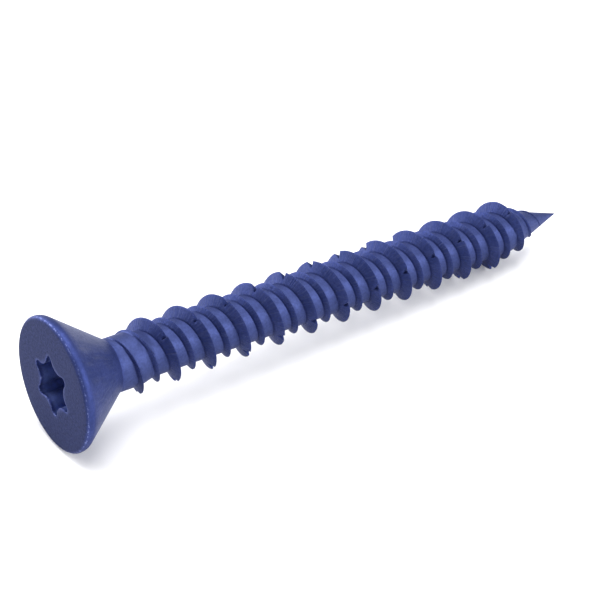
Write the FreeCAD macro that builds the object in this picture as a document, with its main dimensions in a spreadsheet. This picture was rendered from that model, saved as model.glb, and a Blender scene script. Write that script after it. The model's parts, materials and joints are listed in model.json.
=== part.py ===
import FreeCAD, Part
import Sketcher
import math
import os

# Countersunk concrete screw with a coarse high-low thread.
# The screw is drawn upright about its own axis: the head face is at height 0 and the point is
# at the far end. At the end it is laid down the way it comes to rest on a table, on the rim of
# the head and the last full crest of the high thread, with the point towards +X.

sizes = {
    # whole screw
    "overall_length": 57.2,
    # head
    "head_diameter": 12.15,
    "head_land": 0.7,
    "head_height": 5.5,
    "face_bevel": 0.22,
    "land_bevel": 0.15,
    # six-lobed drive recess
    "recess_across": 5.6,
    "recess_valleys": 3.96,
    "recess_lobe": 0.45,
    "recess_depth": 3.0,
    "recess_funnel": 0.9,
    # shank
    "neck_diameter": 4.86,
    "neck_end": 7.8,
    "neck_taper": 1.3,
    "root_diameter": 4.24,
    "point_length": 7.05,
    "point_flat": 0.16,
    # high thread: a sharp ridge whose foot flares out
    "pitch": 3.64,
    "high_diameter": 6.3,
    "high_base": 1.46,
    "foot_height": 0.26,
    "foot_flare": 0.27,
    "high_start": 2.13,
    "high_runout": 2.2,
    "high_runin": 2.3,
    # low thread, midway between the turns of the high one
    "low_diameter": 5.02,
    "low_base": 0.66,
    "low_runout": 2.4,
    "low_runin": 2.6,
    # notches across the high crest, lined up along long flutes
    "notch_count": 3,
    "notch_depth": 0.44,
    "notch_width": 1.1,
    "notch_lead": 105.0,
    "notch_angle": 87.3,
    # how the screw lies
    "rest_roll": 38.4,
}

doc = FreeCAD.newDocument("ConcreteScrew")
sheet = doc.addObject("Spreadsheet::Sheet", "Sizes")
for row, (alias, value) in enumerate(sizes.items(), start=1):
    sheet.set(f"A{row}", alias.replace("_", " "))
    sheet.set(f"B{row}", str(value))
    sheet.setAlias(f"B{row}", alias)
doc.recompute()

body = doc.addObject("PartDesign::Body", "Screw")
body.Label = "concrete_screw"


def origin_plane(role):
    return next(item for item in body.Origin.OriginFeatures if item.Role == role)


def new_sketch(name, role):
    sketch = body.newObject("Sketcher::SketchObject", name)
    sketch.AttachmentSupport = [(origin_plane(role), "")]
    sketch.MapMode = "FlatFace"
    return sketch


def bind(sketch, constraint, name, formula):
    index = sketch.addConstraint(constraint)
    sketch.renameConstraint(index, name)
    sketch.setExpression(f"Constraints.{name}", formula)


def closed_outline(sketch, corners):
    """Straight-sided closed outline. Each corner is a pair of formulas, or None on an axis."""
    value = [[0.0 if formula is None else sheet_value(formula) for formula in corner] for corner in corners]
    points = [FreeCAD.Vector(across, along, 0) for across, along in value]
    count = len(points)
    for index in range(count):
        sketch.addGeometry(Part.LineSegment(points[index], points[(index + 1) % count]))
    for index in range(count):
        sketch.addConstraint(Sketcher.Constraint("Coincident", index, 2, (index + 1) % count, 1))
    for index, (across, along) in enumerate(corners):
        x, y = value[index]
        if across is None:
            sketch.addConstraint(Sketcher.Constraint("PointOnObject", index, 1, -2))
        else:
            bind(sketch, Sketcher.Constraint("DistanceX", -1, 1, index, 1, x), f"across{index}", across)
        if along is None:
            sketch.addConstraint(Sketcher.Constraint("PointOnObject", index, 1, -1))
        else:
            bind(sketch, Sketcher.Constraint("DistanceY", -1, 1, index, 1, y), f"along{index}", along)


def sheet_value(formula):
    """Number behind a formula of named sizes, for the first drawing of a sketch."""
    probe = doc.getObject("Probe") or doc.addObject("App::FeaturePython", "Probe")
    if not hasattr(probe, "Result"):
        probe.addProperty("App::PropertyFloat", "Result")
    probe.setExpression("Result", formula)
    probe.recompute()
    return probe.Result


def revolve(kind, sketch, name):
    feature = body.newObject(kind, name)
    feature.Profile = sketch
    feature.ReferenceAxis = (sketch, ["V_Axis"])
    feature.Angle = 360
    feature.Refine = False
    sketch.Visibility = False
    return feature


# Places along the axis that several features share.
half = {name: f"Sizes.{name}_diameter / 2" for name in ("head", "neck", "root", "high", "low")}
point_start = "Sizes.overall_length - Sizes.point_length"
buried = "Sizes.root_diameter / 2 - 0.3"

# Thin rod inside the shank that carries both threads until the shank closes round them.
rod_sketch = new_sketch("RodSketch", "XZ_Plane")
closed_outline(rod_sketch, [
    (None, "Sizes.high_start - 1"),
    (buried, "Sizes.high_start - 1"),
    (buried, point_start),
    ("0.3", "Sizes.overall_length - 1.5"),
    (None, "Sizes.overall_length - 1.5"),
])
revolve("PartDesign::Revolution", rod_sketch, "Rod")


def thread(name, start, crest_radius, base, runin, foot):
    """One sharp ridge, wound along the shank from inside the head to the point. A foot is a corner
    on its flank, as a height over the root and a distance from the ridge's middle."""
    half_outline = [
        ("Sizes.root_diameter / 2 - 0.75", f"{base} / 2"),
        (half["root"], f"{base} / 2"),
    ] + foot
    sketch = new_sketch(name + "Sketch", "XZ_Plane")
    closed_outline(sketch, [(across, f"{start} - {away}") for across, away in half_outline]
                   + [(crest_radius, start)]
                   + [(across, f"{start} + {away}") for across, away in reversed(half_outline)])
    helix = body.newObject("PartDesign::AdditiveHelix", name)
    helix.Profile = sketch
    helix.ReferenceAxis = (sketch, ["V_Axis"])
    helix.Mode = "pitch-height-angle"
    helix.setExpression("Pitch", "Sizes.pitch")
    helix.setExpression("Height", f"{point_start} + {runin} - ({start}) + Sizes.pitch / 4")
    helix.Angle = 0
    helix.LeftHanded = False
    helix.Reversed = False
    helix.Refine = False
    sketch.Visibility = False
    return helix


def trim(name, crest_radius, runout, runin):
    """The crest rises out of the neck behind the head and dies away on the point."""
    sketch = new_sketch(name + "Sketch", "XZ_Plane")
    outside = f"{crest_radius} + 1"
    full = f"{crest_radius} + 0.01"
    closed_outline(sketch, [
        (outside, "Sizes.high_start - 1.5"),
        ("Sizes.neck_diameter / 2 + 0.2", "Sizes.high_start - 1.5"),
        ("Sizes.neck_diameter / 2 - 0.03", "Sizes.head_height - 0.1"),
        (full, f"Sizes.head_height + {runout}"),
        (full, f"{point_start} - 0.4"),
        (f"Sizes.root_diameter / 2 * (1 - {runin} / Sizes.point_length) - 0.03", f"{point_start} + {runin}"),
        ("0.02", "Sizes.overall_length + 0.5"),
        (outside, "Sizes.overall_length + 0.5"),
    ])
    return revolve("PartDesign::Groove", sketch, name)


low_start = "(Sizes.high_start + Sizes.pitch / 2)"
thread("LowThread", low_start, half["low"], "Sizes.low_base", "Sizes.low_runin", [])
trim("LowTrim", half["low"], "Sizes.low_runout", "Sizes.low_runin")
thread("HighThread", "Sizes.high_start", half["high"], "Sizes.high_base", "Sizes.high_runin",
       [("Sizes.root_diameter / 2 + Sizes.foot_height", "(Sizes.high_base / 2 - Sizes.foot_flare)")])
trim("HighTrim", half["high"], "Sizes.high_runout", "Sizes.high_runin")
doc.recompute()


# Flutes: shallow V cuts that cross the high crest only, because their bottom stays clear of
# the low crest. They wind the other way with a very long lead.
flute_sketch = new_sketch("FluteSketch", "XY_Plane")
flute_sketch.setExpression("AttachmentOffset.Base.z", "Sizes.head_height")
flute_sketch.setExpression("AttachmentOffset.Rotation.Angle", "Sizes.notch_angle")
flute_side = "Sizes.notch_width * (Sizes.notch_depth + 0.4) / Sizes.notch_depth / 2"
closed_outline(flute_sketch, [
    (f"{half['high']} - Sizes.notch_depth", None),
    (f"{half['high']} + 0.4", f"0 - {flute_side}"),
    (f"{half['high']} + 0.4", flute_side),
])
flute = body.newObject("PartDesign::SubtractiveHelix", "Flute")
flute.Profile = flute_sketch
flute.ReferenceAxis = (flute_sketch, ["N_Axis"])
flute.Mode = "pitch-height-angle"
flute.setExpression("Pitch", "Sizes.notch_lead")
flute.setExpression("Height", f"{point_start} + 1 - Sizes.head_height")
flute.Angle = 0
flute.LeftHanded = True
flute.Reversed = False
flute.Refine = False
flute_sketch.Visibility = False
flutes = body.newObject("PartDesign::PolarPattern", "Flutes")
flutes.Originals = [flute]
flutes.Axis = (flute_sketch, ["N_Axis"])
flutes.Angle = 360
flutes.setExpression("Occurrences", "Sizes.notch_count")
flutes.Refine = False
body.Tip = flutes

# Blank: head, neck, shank and point turned as one.
blank_sketch = new_sketch("BlankSketch", "XZ_Plane")
head_slope = f"(({half['head']} - {half['neck']}) / (Sizes.head_height - Sizes.head_land))"
closed_outline(blank_sketch, [
    (None, None),
    (f"{half['head']} - Sizes.face_bevel", None),
    (half["head"], "Sizes.face_bevel"),
    (half["head"], "Sizes.head_land - Sizes.land_bevel"),
    (f"{half['head']} - Sizes.land_bevel * {head_slope}", "Sizes.head_land + Sizes.land_bevel"),
    (half["neck"], "Sizes.head_height"),
    (half["neck"], "Sizes.neck_end"),
    (half["root"], "Sizes.neck_end + Sizes.neck_taper"),
    (half["root"], point_start),
    ("Sizes.point_flat / 2", "Sizes.overall_length"),
    (None, "Sizes.overall_length"),
])
blank = revolve("PartDesign::Revolution", blank_sketch, "Blank")
doc.recompute()

# Drive recess: six lobes joined by six wider hollow arcs, tangent to one another.
recess_sketch = new_sketch("RecessSketch", "XY_Plane")
lobe_centre = "(Sizes.recess_across / 2 - Sizes.recess_lobe)"
valley = "(Sizes.recess_valleys / 2)"
root3 = "sqrt(3)"
hollow = (f"(({lobe_centre}^2 + {valley}^2 - {root3} * {lobe_centre} * {valley} - Sizes.recess_lobe^2)"
          f" / (2 * Sizes.recess_lobe + {root3} * {lobe_centre} - 2 * {valley}))")
lobe_reach = sheet_value(lobe_centre)
lobe_radius = sheet.recess_lobe
hollow_radius = sheet_value(hollow)
hollow_reach = sheet_value(f"{valley} + {hollow}")
joins = []
for step in range(12):
    turn = math.radians(30 + 30 * step)
    reach = hollow_reach if step % 2 else lobe_reach
    joins.append(FreeCAD.Vector(reach * math.cos(turn), reach * math.sin(turn), 0))
share = lobe_radius / (lobe_radius + hollow_radius)
touch = [joins[step] + (joins[(step + 1) % 12] - joins[step]) * (share if step % 2 == 0 else 1 - share)
         for step in range(12)]
for step in range(12):
    centre = joins[step]
    before, after = touch[step - 1], touch[step]
    radius = hollow_radius if step % 2 else lobe_radius
    if step % 2:
        before, after = after, before
    circle = Part.Circle(centre, FreeCAD.Vector(0, 0, 1), radius)
    first = math.atan2(before.y - centre.y, before.x - centre.x)
    last = math.atan2(after.y - centre.y, after.x - centre.x)
    recess_sketch.addGeometry(Part.ArcOfCircle(circle, first, last if last > first else last + 2 * math.pi))
for step in range(12):
    end = 1 if step % 2 else 2
    start = 2 if step % 2 == 0 else 1
    following = (step + 1) % 12
    recess_sketch.addConstraint(Sketcher.Constraint("Tangent", step, end, following, start))
    if step % 2:
        bind(recess_sketch, Sketcher.Constraint("Radius", step, hollow_radius), f"radius{step}", hollow)
        continue
    bind(recess_sketch, Sketcher.Constraint("Radius", step, lobe_radius), f"radius{step}", "Sizes.recess_lobe")
    centre = joins[step]
    angle = 30 + 30 * step
    if abs(centre.x) < 1e-6:
        recess_sketch.addConstraint(Sketcher.Constraint("PointOnObject", step, 3, -2))
    else:
        bind(recess_sketch, Sketcher.Constraint("DistanceX", -1, 1, step, 3, centre.x),
             f"across{step}", f"{lobe_centre} * cos({angle}deg)")
    bind(recess_sketch, Sketcher.Constraint("DistanceY", -1, 1, step, 3, centre.y),
         f"along{step}", f"{lobe_centre} * sin({angle}deg)")
recess = body.newObject("PartDesign::Pocket", "Recess")
recess.Profile = recess_sketch
recess.setExpression("Length", "Sizes.recess_depth")
recess.Reversed = True
recess.Refine = False
recess_sketch.Visibility = False

# The cutter of the recess leaves a shallow cone at its bottom.
funnel_sketch = new_sketch("FunnelSketch", "XZ_Plane")
closed_outline(funnel_sketch, [
    (None, "Sizes.recess_depth - 0.2"),
    (f"{valley} - 0.1", "Sizes.recess_depth - 0.2"),
    (f"{valley} - 0.1", "Sizes.recess_depth"),
    (None, "Sizes.recess_depth + Sizes.recess_funnel"),
])
funnel = revolve("PartDesign::Groove", funnel_sketch, "Funnel")
body.Tip = funnel
doc.recompute()

# The screw lies down on the rim of its head and one crest near the point. The drop of the point
# follows from where those two touch.
roll_angle = math.radians(sheet.rest_roll)
upward = FreeCAD.Vector(math.cos(roll_angle), math.sin(roll_angle), 0)
outline = [(corner.z, -corner.dot(upward)) for corner in body.Shape.tessellate(0.01)[0]]
rim_side = [spot for spot in outline if spot[0] < sheet.head_height]
crest_side = [spot for spot in outline if spot[0] > sheet.overall_length / 2]
tilt = 0.0
for attempt in range(4):
    rim = max(rim_side, key=lambda spot: spot[1] * math.cos(tilt) + spot[0] * math.sin(tilt))
    tilt = math.atan(-max((depth - rim[1]) / (along - rim[0]) for along, depth in crest_side))

onto_back = FreeCAD.Rotation(FreeCAD.Vector(0, 0, 1), -sheet.rest_roll)
lying = FreeCAD.Rotation(
    FreeCAD.Vector(math.sin(tilt), 0, math.cos(tilt)),
    FreeCAD.Vector(0, -1, 0),
    FreeCAD.Vector(math.cos(tilt), 0, -math.sin(tilt)), "ZXY").multiply(onto_back)
body.Placement = FreeCAD.Placement(FreeCAD.Vector(), lying)
box = body.Shape.optimalBoundingBox(False, False)
middle = FreeCAD.Vector((box.XMin + box.XMax) / 2, (box.YMin + box.YMax) / 2, box.ZMin)
body.Placement = FreeCAD.Placement(-middle, lying)
doc.removeObject("Probe")
doc.recompute()

failed = [item.Name for item in doc.Objects if {"Invalid", "Error"} & set(item.State)]
if failed:
    raise RuntimeError(f"failed objects: {failed}")
if body.Shape.isNull() or not body.Shape.isValid() or len(body.Shape.Solids) != 1:
    raise RuntimeError("the screw is not one valid solid")
volumes = {item.Name: item.Shape.Volume for item in (blank, recess, funnel)}
if not volumes["Blank"] > volumes["Recess"] > volumes["Funnel"]:
    raise RuntimeError(f"the recess cuts nothing: {volumes}")

os.makedirs("parts", exist_ok=True)
body.Shape.exportStep(f"parts/{body.Label}.step")
print(f"{body.Label}: {body.Shape.Volume:.1f} mm3, point drops {math.degrees(tilt):.2f} degrees")
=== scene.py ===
import bpy
import bmesh
import json
from math import radians, degrees, pi, cos, sin, tan, sqrt, atan2, hypot
from mathutils import Matrix, Vector, noise


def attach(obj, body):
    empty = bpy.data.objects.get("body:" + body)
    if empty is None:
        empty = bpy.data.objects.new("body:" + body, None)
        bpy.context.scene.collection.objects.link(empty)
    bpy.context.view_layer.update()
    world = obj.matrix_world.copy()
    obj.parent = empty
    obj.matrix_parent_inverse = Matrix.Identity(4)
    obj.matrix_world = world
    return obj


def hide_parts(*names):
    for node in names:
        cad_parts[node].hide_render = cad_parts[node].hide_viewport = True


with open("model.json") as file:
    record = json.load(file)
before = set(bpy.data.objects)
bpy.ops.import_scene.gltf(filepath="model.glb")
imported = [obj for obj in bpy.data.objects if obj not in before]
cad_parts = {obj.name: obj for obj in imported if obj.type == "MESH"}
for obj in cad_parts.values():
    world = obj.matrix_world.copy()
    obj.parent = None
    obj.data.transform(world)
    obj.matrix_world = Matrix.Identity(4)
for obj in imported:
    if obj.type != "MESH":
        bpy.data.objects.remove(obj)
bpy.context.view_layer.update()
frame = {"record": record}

# The screw is shaped upright in millimetres, with its head's face at 0 and its point at the top.
# It is then laid down with its face where the frame has the mount of the drive recess.
lie = {
    "mount": "drive_recess",
    "roll": 38.4,                   # turn about its own axis, in degrees
}


def layDown():
    mount = next(mount for mount in frame["record"]["mounts"] if mount["name"] == lie["mount"])
    along = -Vector(mount["axis"]).normalized()
    across = Vector((0, -1, 0))
    axes = Matrix((across.cross(along), across, along)).transposed()
    turn = axes @ Matrix.Rotation(-radians(lie["roll"]), 3, "Z")
    return Matrix.Translation(mount["pos_m"]) @ turn.to_4x4() @ Matrix.Scale(0.001, 4)


toFrame = layDown()

# Heights are measured from the head's face towards the point, and radii from the axis.
shank = {
    "pitch": 3.64,
    "start": 5.8,                   # where the shank joins the head's neck
    "length": 57.2,
    "neckRadius": 2.43,
    "neckEnd": 7.8,
    "taperEnd": 9.1,
    "rootRadius": 2.12,
    "pointStart": 50.15,
    "tipRadius": 0.02,
    "tipCut": 0.04,                 # length taken off the very point
    "crestHeight": 2.13,            # height of the high crest at angle 0
    "crestEdge": (0.03, 0.02),      # half width of a crest, and how far its edges drop
    "crestStart": 2.40,             # radius of both crests at the shank's start
    # each ridge: feet of its two sides and end of its zone, as distances from the crest's middle,
    # heights between which it is full, and height and radius as it dies away on the point
    "high": {
        "radius": 3.18,
        "headFoot": 0.56,
        "tipFoot": 0.44,
        "zone": 1.0,
        "full": (7.75, 49.7),
        "fading": ((53.2, 1.36), (55.2, 0.63)),
    },
    "low": {
        "radius": 2.65,
        "headFoot": 0.40,
        "tipFoot": 0.26,
        "zone": 0.6,
        "full": (7.9, 50.1),
        "fading": ((52.0, 1.85), (54.6, 0.79)),
    },
    "unevenCrest": 0.014,
    # heights above the core and below a cut at which the finish of a flank and the painted shade of a
    # cut are full
    "flankFull": 0.12,
    "cutShadeFull": 0.08,
    "columns": 144,                 # around, counted along the flutes
    "rowGap": 0.15,                 # between the rows of a flank
    "spare": (1.2, 1.5),            # wound beyond both ends, then cut off
    "weld": 0.002,
}
# The notches in the high crest lie along three long flutes that wind the other way.
notch = {
    "depth": 0.62,
    "columns": (-4, 1, 2),          # start, bottom and end, in the shank's columns
    "flutes": 3,
    "lead": 105.0,
    "angle": 87.3,                  # of one flute, at the height on the next line
    "angleHeight": 5.5,
    "first": 6.0,
    "last": 51.4,
}
fluteLean = -360.0 / notch["lead"]  # degrees for each millimetre of height


def split(line, gap):
    # the same line with points added so that none lie farther apart than the gap
    made = [tuple(line[0])]
    for start, end in zip(line, line[1:]):
        count = max(1, round((Vector(end) - Vector(start)).length / gap))
        made += [tuple(Vector(start).lerp(Vector(end), step / count)) for step in range(1, count + 1)]
    return made


def radiusOn(line, z):
    # radius at a height on a line of (height, radius) points
    if z <= line[0][0]:
        return line[0][1]
    for (z0, r0), (z1, r1) in zip(line, line[1:]):
        if z <= z1:
            return r0 + (r1 - r0) * (z - z0) / (z1 - z0)
    return 0.0


def coreRadius(z):
    neck, root, tip = shank["neckRadius"], shank["rootRadius"], shank["tipRadius"]
    line = ((0, neck), (shank["neckEnd"], neck), (shank["taperEnd"], root),
            (shank["pointStart"], root), (shank["length"], tip))
    return max(tip, radiusOn(line, z))


def crestLine(ridge):
    # the crest rises out of the neck, runs full and dies away
    first, last = ridge["full"]
    return ((shank["start"], shank["crestStart"]), (first, ridge["radius"]), (last, ridge["radius"]),
            *ridge["fading"])


def ridgeSide(ridge, foot):
    # from a crest's middle down to the core: distance from the middle and radius
    edge, drop = shank["crestEdge"]
    top, root = ridge["radius"], shank["rootRadius"]
    side = ((0.0, top), (edge, top - drop), (ridge[foot], root), (ridge["zone"], root))
    return split(side, shank["rowGap"])


def windUp():
    # one pitch of the thread's outline, leaning along the flutes, is wound up the axis
    pitch, columns = shank["pitch"], shank["columns"]
    high, low, half = shank["high"], shank["low"], shank["pitch"] / 2
    outline = ridgeSide(high, "tipFoot")
    outline += [(half - z, r) for z, r in reversed(ridgeSide(low, "headFoot"))]
    outline += [(half + z, r) for z, r in ridgeSide(low, "tipFoot")[1:]]
    outline += [(pitch - z, r) for z, r in reversed(ridgeSide(high, "headFoot"))]
    # the outline follows a flute from one turn of the crest to the next
    rise = pitch / (1 - pitch * fluteLean / 360.0)
    step = rise / pitch * 360.0 / columns
    fluteAngle = notch["angle"] + fluteLean * (shank["crestHeight"] - notch["angleHeight"])
    bottom = shank["start"] - pitch - shank["spare"][0]
    firstColumn = int((bottom - shank["crestHeight"]) / pitch * columns)
    startAngle = fluteAngle * rise / pitch + firstColumn * step
    bm = bmesh.new()
    corners = []
    for z, r in outline:
        up = z * rise / pitch
        angle = radians(startAngle + fluteLean * up)
        height = shank["crestHeight"] + pitch * startAngle / 360.0 + up
        corners.append(bm.verts.new((r * cos(angle), r * sin(angle), height)))
    edges = [bm.edges.new(pair) for pair in zip(corners, corners[1:])]
    swing, lift = radians(step * columns), pitch * step * columns / 360.0
    bmesh.ops.spin(bm, geom=corners + edges, cent=(0, 0, 0), axis=(0, 0, 1),
                   dvec=(0, 0, lift / columns), angle=swing, steps=columns, use_merge=False)
    # the wound turn is repeated up the axis
    oneTurn = bm.verts[:] + bm.edges[:] + bm.faces[:]
    for count in range(1, int((shank["length"] + shank["spare"][1] - bottom) / lift) + 1):
        copied = bmesh.ops.duplicate(bm, geom=oneTurn)["geom"]
        corners = [item for item in copied if isinstance(item, bmesh.types.BMVert)]
        move = Matrix.Translation((0, 0, lift * count)) @ Matrix.Rotation(swing * count, 4, "Z")
        bmesh.ops.transform(bm, verts=corners, matrix=move)
    bmesh.ops.remove_doubles(bm, verts=bm.verts, dist=shank["weld"])
    print("thread wound:", len(bm.faces), "faces")
    return bm


def shapeThread(bm):
    # lowers the crests at both ends, cuts the notches and marks flanks for the coating and cuts for
    # painted shade
    flank = bm.verts.layers.float.new("flank")
    paintedCutShade = bm.verts.layers.float.new("paintedCutShade")
    pitch, high, low, margin = shank["pitch"], shank["high"], shank["low"], shank["crestEdge"][1]
    highLine, lowLine, between = crestLine(high), crestLine(low), 360.0 / notch["flutes"]
    start, bottom, end = (column * 360.0 / shank["columns"] for column in notch["columns"])
    for vert in bm.verts:
        x, y, z = vert.co
        radius, angle = hypot(x, y), degrees(atan2(y, x))
        offset = (z - shank["crestHeight"] - pitch * angle / 360.0) % pitch
        isHigh = min(offset, pitch - offset) < high["zone"] + margin
        ridge, line = (high, highLine) if isHigh else (low, lowLine)
        core, below = coreRadius(z), ridge["radius"] - radius
        rough = noise.noise(vert.co * 0.9) * shank["unevenCrest"]
        made = min(radiusOn(line, z), ridge["radius"] + rough) - below
        stands = max(0.0, made - core)
        # degrees past the nearest flute
        past = angle - notch["angle"] - fluteLean * (z - notch["angleHeight"])
        past = (past + between / 2) % between - between / 2
        share = min((past - start) / (bottom - start), (end - past) / (end - bottom))
        cut = 0.0
        if isHigh and notch["first"] < z < notch["last"] and share > 0:
            cut = max(0.0, made - high["radius"] + notch["depth"] * share)
        made = max(core, made - cut)
        vert.co.x, vert.co.y = x / radius * made, y / radius * made
        onCore = below >= ridge["radius"] - shank["rootRadius"] - margin
        vert[flank] = 0.0 if onCore else min(1.0, stands / shank["flankFull"])
        # painted shade in the notches' cuts, growing with the cut's depth
        vert[paintedCutShade] = min(1.0, cut / shank["cutShadeFull"])


head = {
    "radius": 6.075,
    "height": 5.5,
    "rimRound": 0.38,               # between the face and the land
    "landEnd": 0.7,
    "landRound": 0.7,               # between the land and the cone
    "neckRound": 0.25,
    # six-lobed drive recess: reach of the arcs' centres and their radii
    "lobeReach": 2.35,
    "lobeRadius": 0.45,
    "hollowReach": 3.1491,
    "hollowRadius": 1.1691,
    "touchAngle": 19.88,            # where hollow and lobe meet, from the middle of a hollow
    "depth": 3.0,
    "funnelDepth": 3.9,
    "floorRadius": 1.86,
    "floorEdge": (0.03, 0.04),      # width and height of the bevel round the floor
    "mouthRound": 0.05,
    # rings on the face round the recess: distance from the star, and share of its shape left
    "rings": ((0.26, 0.8), (0.42, 0.5), (0.6, 0.2)),
    "ringRadius": 2.9,              # the circle that the rings turn into
    "flatStart": 3.6,
    "drawnFrom": 2.4,               # radius of the star's rings while they are turned
    "unevenRim": 0.010,
    "unevenScale": 3.1,
    "unevenFrom": 5.8,              # radius
    # where the coating is rubbed: height of the middle and reach
    "rimWear": (0.14, 0.2),
    "rimFrom": 5.5,                 # radius
    "mouthWear": (0.03, 0.12),
    "ringWear": 0.3,
    "faceFade": 0.1,                # depth at which the face's painted shade, extra grain and roughness end
    "columns": 240,
    # longest steps between the rows
    "faceGap": 0.6,
    "wallGap": 0.5,
    "coneGap": 0.7,
    "shankGap": 0.03,               # left to be bridged to the shank
    "weld": 0.0005,
    "sharpAngle": 38,
}


def arc(across, up, radius, first, last, steps):
    # points on a round stretch of the outline, angles in degrees from outwards towards the point
    turns = [radians(first + (last - first) * step / steps) for step in range(steps + 1)]
    return [(across + radius * cos(turn), up + radius * sin(turn)) for turn in turns]


def headRows():
    # outline from the middle of the recess out to the shank: radius, height and 0, or in the
    # recess and round it the distance from the star, height and share of the star's shape
    depth, mouth = head["depth"], head["mouthRound"]
    width, rise = head["floorEdge"]
    rows = split(((0.0, head["funnelDepth"], 0), (head["floorRadius"], depth, 0)), head["faceGap"])
    wall = ((-width, depth, 1), (0.0, depth - rise, 1), (0.0, mouth, 1))
    rows += split(wall, head["wallGap"])
    rows += [(across, up, 1) for across, up in arc(mouth, mouth, mouth, 180, 270, 4)[1:]]
    rows += [(across, 0.0, share) for across, share in head["rings"]]
    rim, land, neck = head["rimRound"], head["landRound"], head["neckRound"]
    slant = degrees(atan2(head["radius"] - shank["neckRadius"], head["height"] - head["landEnd"]))
    ease = tan(radians(slant / 2))
    body = arc(head["radius"] - rim, rim, rim, -90, 0, 7)
    body += arc(head["radius"] - land, head["landEnd"] - land * ease, land, 0, slant, 5)
    flat = split(((head["flatStart"], 0.0), body[0]), head["faceGap"])[:-1]
    cone = [body[-1]] + arc(shank["neckRadius"] + neck, head["height"] + neck * ease, neck,
                            180 + slant, 180, 6)
    body += split(cone, head["coneGap"])[1:]
    body.append((shank["neckRadius"], shank["start"] - head["shankGap"]))
    return rows + [(across, up, 0) for across, up in flat + body]


def starRadius(angle):
    # outline of the drive recess at an angle in degrees
    turn = abs((angle + 30) % 60 - 30)
    if turn < head["touchAngle"]:
        reach, radius, side = head["hollowReach"], head["hollowRadius"], -1
    else:
        turn, reach, radius, side = 30 - turn, head["lobeReach"], head["lobeRadius"], 1
    turn = radians(turn)
    return reach * cos(turn) + side * sqrt(radius ** 2 - (reach * sin(turn)) ** 2)


def turnHead():
    # the outline is turned round the axis, then its rings in the recess are drawn out to the star
    bm = bmesh.new()
    face = bm.verts.layers.float.new("face")
    wear = bm.verts.layers.float.new("wear")
    marks = bm.verts.layers.int.new("row")
    rows = headRows()
    corners = []
    for row, (across, z, share) in enumerate(rows):
        corners.append(bm.verts.new((across + head["drawnFrom"] if share else across, 0, z)))
        corners[-1][marks] = row
    edges = [bm.edges.new(pair) for pair in zip(corners, corners[1:])]
    bmesh.ops.spin(bm, geom=corners + edges, cent=(0, 0, 0), axis=(0, 0, 1), angle=2 * pi,
                   steps=head["columns"], use_merge=True)
    bmesh.ops.remove_doubles(bm, verts=bm.verts, dist=head["weld"])
    (rimMiddle, rimReach), (mouthMiddle, mouthReach) = head["rimWear"], head["mouthWear"]
    for vert in bm.verts:
        across, z, share = rows[vert[marks]]
        angle = atan2(vert.co.y, vert.co.x)
        radius = across
        if share:
            radius += starRadius(degrees(angle)) * share + head["ringRadius"] * (1 - share)
        if radius > head["unevenFrom"]:
            scale = head["unevenScale"]
            swell = noise.noise((cos(angle) * scale, sin(angle) * scale, z))
            radius -= abs(swell) * head["unevenRim"]
        vert.co = (radius * cos(angle), radius * sin(angle), z)
        if not share or across > head["mouthRound"]:
            vert[face] = max(0.0, 1 - z / head["faceFade"])
        if radius > head["rimFrom"]:
            vert[wear] = max(0.0, 1 - abs(z - rimMiddle) / rimReach)
        elif share:
            rubbed = max(0.0, 1 - abs(z - mouthMiddle) / mouthReach)
            vert[wear] = rubbed if across <= head["mouthRound"] else rubbed * head["ringWear"]
    print("head turned:", len(bm.faces), "faces")
    return bm


def joinScrew():
    # the shank is cut square at both ends, closed at the point and bridged to the head's neck
    thread = windUp()
    shapeThread(thread)
    tipHeight = shank["length"] - shank["tipCut"]
    for height, side in ((shank["start"], -1), (tipHeight, 1)):
        bmesh.ops.bisect_plane(thread, geom=thread.verts[:] + thread.edges[:] + thread.faces[:],
                               dist=shank["weld"] / 4, plane_co=(0, 0, height),
                               plane_no=(0, 0, side), clear_outer=True)
    bmesh.ops.remove_doubles(thread, verts=thread.verts, dist=shank["weld"])
    bmesh.ops.dissolve_degenerate(thread, edges=thread.edges, dist=shank["weld"] / 2)
    mesh = bpy.data.meshes.new("concreteScrew")
    thread.to_mesh(mesh)
    thread.free()
    bm = turnHead()
    bm.from_mesh(mesh)
    tip = [edge for edge in bm.edges if edge.is_boundary and edge.verts[0].co.z > shank["pointStart"]]
    bmesh.ops.contextual_create(bm, geom=tip)
    bmesh.ops.bridge_loops(bm, edges=[edge for edge in bm.edges if edge.is_boundary])
    print("open edges:", sum(edge.is_boundary for edge in bm.edges))
    bmesh.ops.transform(bm, matrix=toFrame, verts=bm.verts)
    bmesh.ops.recalc_face_normals(bm, faces=bm.faces)
    for face in bm.faces:
        face.smooth = True
    for edge in bm.edges:
        edge.smooth = edge.calc_face_angle(0) < radians(head["sharpAngle"])
    bm.to_mesh(mesh)
    bm.free()
    print("screw joined:", len(mesh.polygons), "faces")
    return mesh


class Signal:
    # a socket that takes sums and products, each of which adds its Math node
    def __init__(self, paint, socket):
        self.paint, self.socket = paint, socket

    def maths(self, operation, other, swapped=False):
        pair = (other, self) if swapped else (self, other)
        return self.paint.node("ShaderNodeMath", {"operation": operation}, {0: pair[0], 1: pair[1]})

    def __add__(self, other):
        return self.maths("ADD", other)

    def __sub__(self, other):
        return self.maths("SUBTRACT", other)

    def __rsub__(self, other):
        return self.maths("SUBTRACT", other, True)

    def __mul__(self, other):
        return self.maths("MULTIPLY", other)

    def __truediv__(self, other):
        return self.maths("DIVIDE", other)

    def __pow__(self, other):
        return self.maths("POWER", other)

    __radd__ = __add__
    __rmul__ = __mul__


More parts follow.
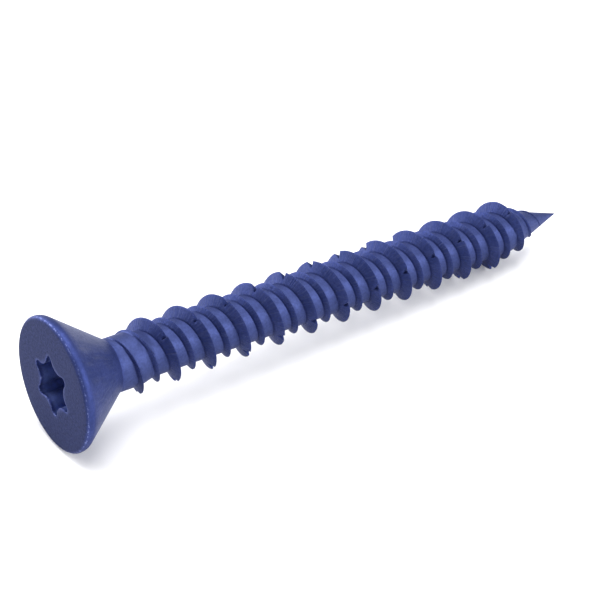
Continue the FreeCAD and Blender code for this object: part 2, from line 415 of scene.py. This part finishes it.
class Paint:
    def __init__(self, name):
        self.material = bpy.data.materials.new(name)
        self.material.use_nodes = True
        self.tree = self.material.node_tree
        self.shader = self.tree.nodes["Principled BSDF"].inputs

    def node(self, kind, settings, sockets, output=0):
        made = self.tree.nodes.new(kind)
        for name, value in settings.items():
            setattr(made, name, value)
        for name, value in sockets.items():
            self.feed(made.inputs[name], value)
        return Signal(self, made.outputs[output])

    def feed(self, socket, value):
        if isinstance(value, Signal):
            self.tree.links.new(value.socket, socket)
        else:
            socket.default_value = value

    def mix(self, share, first, second):
        # sockets 6 and 7 and output 2 are the node's colours
        return self.node("ShaderNodeMix", {"data_type": "RGBA"}, {0: share, 6: first, 7: second}, 2)

    def ramp(self, signal, between):
        # 0 below the first value, 1 above the second, smooth between them
        return self.node("ShaderNodeMapRange", {"interpolation_type": "SMOOTHSTEP"},
                         {"Value": signal, "From Min": between[0], "From Max": between[1]})

    def band(self, signal, rising, falling):
        return self.ramp(signal, rising) * (1 - self.ramp(signal, falling))

    def noise(self, vector, scale, detail, roughness):
        return self.node("ShaderNodeTexNoise", {"noise_dimensions": "3D"},
                         {"Vector": vector, "Scale": scale, "Detail": detail, "Roughness": roughness})

    def attribute(self, name):
        # output 2 is the value of a layer set on the mesh
        return self.node("ShaderNodeAttribute", {"attribute_name": name}, {}, 2)


coating = {
    "blue": (0.041, 0.058, 0.198, 1),
    "deepBlue": (0.030, 0.045, 0.162, 1),
    "bandHighlightBlue": (0.052, 0.070, 0.200, 1),       # painted highlight on the lit core between the ridges
    "dullBlue": (0.060, 0.072, 0.155, 1),
    # painted shade on the head's face
    "faceShadeBlue": (0.024, 0.034, 0.115, 1),
    "recessBlue": (0.120, 0.170, 0.440, 1),
    # grey of the streaks, and of the painted sheen on the cone's sides
    "streakAndSheenGrey": (0.120, 0.138, 0.250, 1),
    "wornBlue": (0.150, 0.185, 0.420, 1),
    "cutShadeBlue": (0.010, 0.017, 0.075, 1),        # painted shade in the notches
    "chip": (0.010, 0.015, 0.045, 1),
    # patterns: scale for each millimetre, detail, roughness
    "cloud": (0.55, 4.0, 0.55),
    "grain": (4.2, 4.0, 0.75),
    "fineGrain": (22.0, 2.0, 0.6),
    "speckle": (3.6, 5.0, 0.75),
    # streaks that run along the screw, on a pattern drawn out around and along it
    "streak": (2.6, 4.0, 0.65),
    "broadStreak": (0.8, 3.0, 0.55),
    "around": 9.0,
    "along": 0.35,
    # how far each finish covers the one below it, and the painted sheen that greys two sides of
    # the cone, each by its angle about the axis
    "flankStreak": 0.3,
    "coneStreak": 0.3,
    "coneDull": 0.4,
    "sheenSides": ((15.0, 0.75), (178.0, 0.8)),
    "sideWander": 0.5,
    "bandHighlightCover": (0.55, 0.6),                   # all over and with the clouds
    "grainCover": (0.25, 0.35),                 # all over and more on the face
    "recessCover": 0.9,
    "rubbedCover": 0.85,
    "cutShadeCover": 0.8,
    "chipCover": 0.8,
    # zones that fade in and out: by radius, by height where they start and by height where they end
    "coneZone": ((2.6, 3.4), (0.8, 1.5), (5.0, 5.6)),
    "recessZone": ((2.75, 2.95), (0.1, 0.5), (4.0, 4.2)),
    "coreStart": (5.2, 6.0),
    # values of a pattern at which its mark starts to show and is full
    "cloudRange": (0.35, 0.68),
    "grainRange": (0.35, 0.65),
    "streakRange": (0.45, 0.75),
    "broadRange": (0.5, 0.75),
    "sideRange": (0.45, 0.95),
    "rubbedRange": (0.80, 0.92),                # of the speckles where the coating is rubbed
    "rubbing": 0.35,
    "chipRange": (0.66, 0.72),
    "chippedRange": (0.60, 0.70),               # along a worn rim
    "roughness": 0.52,
    # how the roughness changes with the grain, on the face and where it is rubbed
    "grainRoughness": 0.25,
    "faceRoughness": 0.12,
    "rubbedRoughness": -0.10,
    "metallic": 0.8,
    "specular": 0.2,
    "edgeTint": (0.80, 0.80, 0.82, 1),
    # heights in the bump
    "grainRelief": 0.5,
    "fineRelief": 0.25,
    "flankRelief": 2.2,
    "coneRelief": 0.6,
    "chipRelief": 0.8,
    "bump": 0.55,
    "bumpDistance": 0.00006,
}


def blueCoating():
    paint = Paint("blueCoating")
    place = paint.node("ShaderNodeTexCoord", {}, {}, 3)     # Object
    # back to the upright screw in millimetres
    back = toFrame.inverted()
    turn, shift = back.to_3x3().normalized().to_euler("XYZ"), back.to_translation()
    spot = paint.node("ShaderNodeMapping", {"vector_type": "POINT"},
                      {"Vector": place, "Scale": (1000, 1000, 1000), "Rotation": turn,
                       "Location": shift})
    x, y, z = (paint.node("ShaderNodeSeparateXYZ", {}, {0: spot}, part) for part in range(3))
    radius = (x * x + y * y + 0.0001) ** 0.5                # never 0
    drawn = paint.node("ShaderNodeCombineXYZ", {},
                       {0: x / radius * coating["around"], 1: y / radius * coating["around"],
                        2: z * coating["along"]})
    cloud, grain, fineGrain, speckle = (
        paint.noise(spot, *coating[name]) for name in ("cloud", "grain", "fineGrain", "speckle"))
    streak, broadStreak = (paint.noise(drawn, *coating[name]) for name in ("streak", "broadStreak"))

    wear, flank, face, paintedCutShade = (paint.attribute(name) for name in ("wear", "flank", "face", "paintedCutShade"))
    outside, starts, ends = coating["coneZone"]
    cone = paint.ramp(radius, outside) * paint.band(z, starts, ends)
    inside, starts, ends = coating["recessZone"]
    recess = (1 - paint.ramp(radius, inside)) * paint.band(z, starts, ends)
    core = paint.ramp(z, coating["coreStart"]) * (1 - flank)
    rubbed = paint.ramp(wear * coating["rubbing"] + speckle, coating["rubbedRange"])
    chips = paint.ramp(speckle, coating["chipRange"]) * coating["chipCover"]

    clouded = paint.ramp(cloud, coating["cloudRange"])
    colour = paint.mix(clouded, coating["deepBlue"], coating["blue"])
    least, more = coating["bandHighlightCover"]
    # painted highlight: the core between the ridges is lighter, patchy with the clouds
    colour = paint.mix(core * (least + more * cloud), colour, coating["bandHighlightBlue"])
    streaked = flank * coating["flankStreak"] + cone * coating["coneStreak"]
    streaked *= paint.ramp(streak, coating["streakRange"])
    colour = paint.mix(streaked, colour, coating["streakAndSheenGrey"])
    dull = paint.ramp(broadStreak, coating["broadRange"]) * cone * coating["coneDull"]
    colour = paint.mix(dull, colour, coating["dullBlue"])
    wander = (broadStreak - 0.5) * coating["sideWander"]
    # painted sheen: two sides of the cone, picked by angle about the axis, turn greyer
    for angle, share in coating["sheenSides"]:
        side = (x * cos(radians(angle)) + y * sin(radians(angle))) / radius
        side = paint.ramp(side + wander, coating["sideRange"]) * cone * share
        colour = paint.mix(side * (0.5 + streak), colour, coating["streakAndSheenGrey"])
    colour = paint.mix(recess * coating["recessCover"], colour, coating["recessBlue"])
    # painted shade: the head's face is darkened
    colour = paint.mix(face, colour, coating["faceShadeBlue"])
    least, more = coating["grainCover"]
    grained = paint.ramp(grain, coating["grainRange"]) * (least + more * face)
    colour = paint.mix(grained, colour, coating["chip"])
    colour = paint.mix(rubbed * coating["rubbedCover"], colour, coating["wornBlue"])
    # painted shade darkens the notches' cuts
    colour = paint.mix(paintedCutShade * coating["cutShadeCover"], colour, coating["cutShadeBlue"])
    colour = paint.mix(chips, colour, coating["chip"])
    paint.feed(paint.shader["Base Color"], colour)

    rough = (grain - 0.5) * coating["grainRoughness"] + coating["roughness"]
    rough += face * coating["faceRoughness"] + rubbed * coating["rubbedRoughness"]
    paint.feed(paint.shader["Roughness"], rough)
    paint.feed(paint.shader["Metallic"], coating["metallic"])
    paint.feed(paint.shader["Specular IOR Level"], coating["specular"])
    paint.feed(paint.shader["Specular Tint"], coating["edgeTint"])

    relief = grain * coating["grainRelief"] + fineGrain * coating["fineRelief"]
    relief += streak * (flank * coating["flankRelief"] + cone * coating["coneRelief"])
    relief += paint.ramp(speckle, coating["chippedRange"]) * wear - chips * coating["chipRelief"]
    bump = paint.node("ShaderNodeBump", {}, {"Height": relief, "Strength": coating["bump"],
                                             "Distance": coating["bumpDistance"]})
    paint.feed(paint.shader["Normal"], bump)
    return paint.material


screw = bpy.data.objects.new("concreteScrew", joinScrew())
bpy.context.collection.objects.link(screw)
screw.data.materials.append(blueCoating())
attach(screw, "root")
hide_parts("concrete_screw")
print("screw placed")

studio = {
    "floorSize": 1.6,
    "floorColour": (0.86, 0.86, 0.87, 1),
    "floorRoughness": 0.85,
    "sky": (1.0, 1.0, 1.0, 1),
    "skyStrength": 0.72,
    # round lamps that face the screw: name, place, size, watts
    "lamps": (
        ("keyLamp", (0.20, -0.30, 0.18), 0.28, 1.2),
        ("topLamp", (0.02, 0.05, 0.45), 0.40, 2.0),
        ("backLamp", (-0.14, 0.30, 0.16), 0.34, 1.4),
    ),
    "lens": 102.93,
    "film": 36,
    "reach": (0.005, 5),            # nearest and farthest that the camera sees
    "cameraPlace": (-0.077981, -0.105232, 0.092801),
    "cameraTurn": (55.7059, 0.1280, -35.6239),
}


def layFloor():
    mesh = bpy.data.meshes.new("floor")
    bm = bmesh.new()
    bmesh.ops.create_grid(bm, x_segments=1, y_segments=1, size=studio["floorSize"] / 2)
    bm.to_mesh(mesh)
    bm.free()
    paint = Paint("paleFloor")
    paint.feed(paint.shader["Base Color"], studio["floorColour"])
    paint.feed(paint.shader["Roughness"], studio["floorRoughness"])
    floor = bpy.data.objects.new("floor", mesh)
    floor.data.materials.append(paint.material)
    bpy.context.collection.objects.link(floor)


def hangLights():
    for name, place, size, watts in studio["lamps"]:
        light = bpy.data.lights.new(name, "AREA")
        light.shape, light.size, light.energy = "DISK", size, watts
        lamp = bpy.data.objects.new(name, light)
        lamp.location = place
        lamp.rotation_euler = (-Vector(place)).to_track_quat("-Z", "Y").to_euler()
        bpy.context.collection.objects.link(lamp)
    world = bpy.data.worlds.new("studioSky")
    world.use_nodes = True
    sky = world.node_tree.nodes["Background"]
    sky.inputs["Color"].default_value = studio["sky"]
    sky.inputs["Strength"].default_value = studio["skyStrength"]
    bpy.context.scene.world = world


def setCamera():
    camera = bpy.data.objects.new("camera", bpy.data.cameras.new("camera"))
    camera.data.lens, camera.data.sensor_width = studio["lens"], studio["film"]
    camera.data.clip_start, camera.data.clip_end = studio["reach"]
    camera.location = studio["cameraPlace"]
    camera.rotation_euler = [radians(turn) for turn in studio["cameraTurn"]]
    bpy.context.collection.objects.link(camera)
    bpy.context.scene.camera = camera
    bpy.context.scene.view_settings.view_transform = "Standard"


layFloor()
hangLights()
setCamera()
print("stage set")
